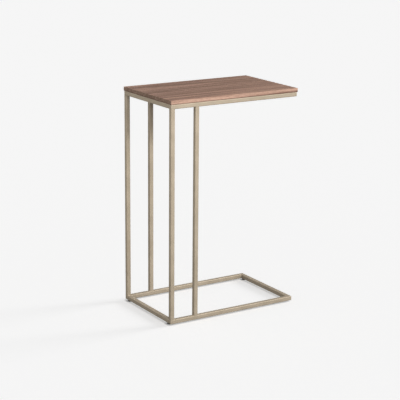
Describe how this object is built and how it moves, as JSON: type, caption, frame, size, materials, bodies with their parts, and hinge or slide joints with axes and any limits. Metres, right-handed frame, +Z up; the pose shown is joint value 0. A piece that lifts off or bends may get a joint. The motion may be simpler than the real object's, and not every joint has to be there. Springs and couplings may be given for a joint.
{
  "type": "sofa side table",
  "caption": "C-shaped side table with a thin wooden top on a welded square-tube frame, open at one end so that its base slides under a sofa.",
  "frame": {"origin": "on the floor, under the middle of the top", "axes": "+Z up, +X to the open end where the sofa goes, +Y to the back"},
  "size_m": [0.401, 0.253, 0.61],
  "materials": {
    "walnut": "satin oil",
    "champagne_coat": "satin metallic champagne coat",
    "zinc_steel": "zinc plated",
    "black_nylon": "matte"
  },
  "bodies": {
    "table": {"top_stave_front": "walnut", "top_stave_middle": "walnut", "top_stave_back": "walnut", "top_front_rail": "champagne_coat", "top_back_rail": "champagne_coat", "top_left_rail": "champagne_coat", "top_right_rail": "champagne_coat", "base_front_rail": "champagne_coat", "base_back_rail": "champagne_coat", "base_left_rail": "champagne_coat", "base_right_rail": "champagne_coat", "front_corner_leg": "champagne_coat", "back_corner_leg": "champagne_coat", "front_inner_leg": "champagne_coat", "back_inner_leg": "champagne_coat", "top_clip_front_left": "champagne_coat", "top_clip_front_right": "champagne_coat", "top_clip_back_left": "champagne_coat", "top_clip_back_right": "champagne_coat", "top_clip_left_end": "champagne_coat", "top_clip_right_end": "champagne_coat", "top_screws": "zinc_steel", "foot_insert_front_left": "zinc_steel", "foot_insert_front_right": "zinc_steel", "foot_insert_back_left": "zinc_steel", "foot_insert_back_right": "zinc_steel"},
    "pad_front_left": {"foot_pad_front_left": "black_nylon"},
    "stem_front_left": {"foot_stem_front_left": "zinc_steel"},
    "pad_front_right": {"foot_pad_front_right": "black_nylon"},
    "stem_front_right": {"foot_stem_front_right": "zinc_steel"},
    "pad_back_left": {"foot_pad_back_left": "black_nylon"},
    "stem_back_left": {"foot_stem_back_left": "zinc_steel"},
    "pad_back_right": {"foot_pad_back_right": "black_nylon"},
    "stem_back_right": {"foot_stem_back_right": "zinc_steel"}
  },
  "joints": [
    {"name": "pad_travel_front_left", "type": "slide", "parent": "table", "child": "pad_front_left", "axis": [0, 0, -1], "range_m": [0, 0.005]},
    {"name": "stem_turn_front_left", "type": "hinge", "parent": "pad_front_left", "child": "stem_front_left", "pos_m": [-0.19325, -0.10825, 0.0035], "axis": [0, 0, -1], "range_deg": [0, 2250]},
    {"name": "pad_travel_front_right", "type": "slide", "parent": "table", "child": "pad_front_right", "axis": [0, 0, -1], "range_m": [0, 0.005]},
    {"name": "stem_turn_front_right", "type": "hinge", "parent": "pad_front_right", "child": "stem_front_right", "pos_m": [0.19325, -0.10825, 0.0035], "axis": [0, 0, -1], "range_deg": [0, 2250]},
    {"name": "pad_travel_back_left", "type": "slide", "parent": "table", "child": "pad_back_left", "axis": [0, 0, -1], "range_m": [0, 0.005]},
    {"name": "stem_turn_back_left", "type": "hinge", "parent": "pad_back_left", "child": "stem_back_left", "pos_m": [-0.19325, 0.10825, 0.0035], "axis": [0, 0, -1], "range_deg": [0, 2250]},
    {"name": "pad_travel_back_right", "type": "slide", "parent": "table", "child": "pad_back_right", "axis": [0, 0, -1], "range_m": [0, 0.005]},
    {"name": "stem_turn_back_right", "type": "hinge", "parent": "pad_back_right", "child": "stem_back_right", "pos_m": [0.19325, 0.10825, 0.0035], "axis": [0, 0, -1], "range_deg": [0, 2250]}
  ],
  "couplings": [
    {"joint": "stem_turn_front_left", "follows": "pad_travel_front_left", "rad_per_m": 7854},
    {"joint": "stem_turn_front_right", "follows": "pad_travel_front_right", "rad_per_m": 7854},
    {"joint": "stem_turn_back_left", "follows": "pad_travel_back_left", "rad_per_m": 7854},
    {"joint": "stem_turn_back_right", "follows": "pad_travel_back_right", "rad_per_m": 7854}
  ]
}
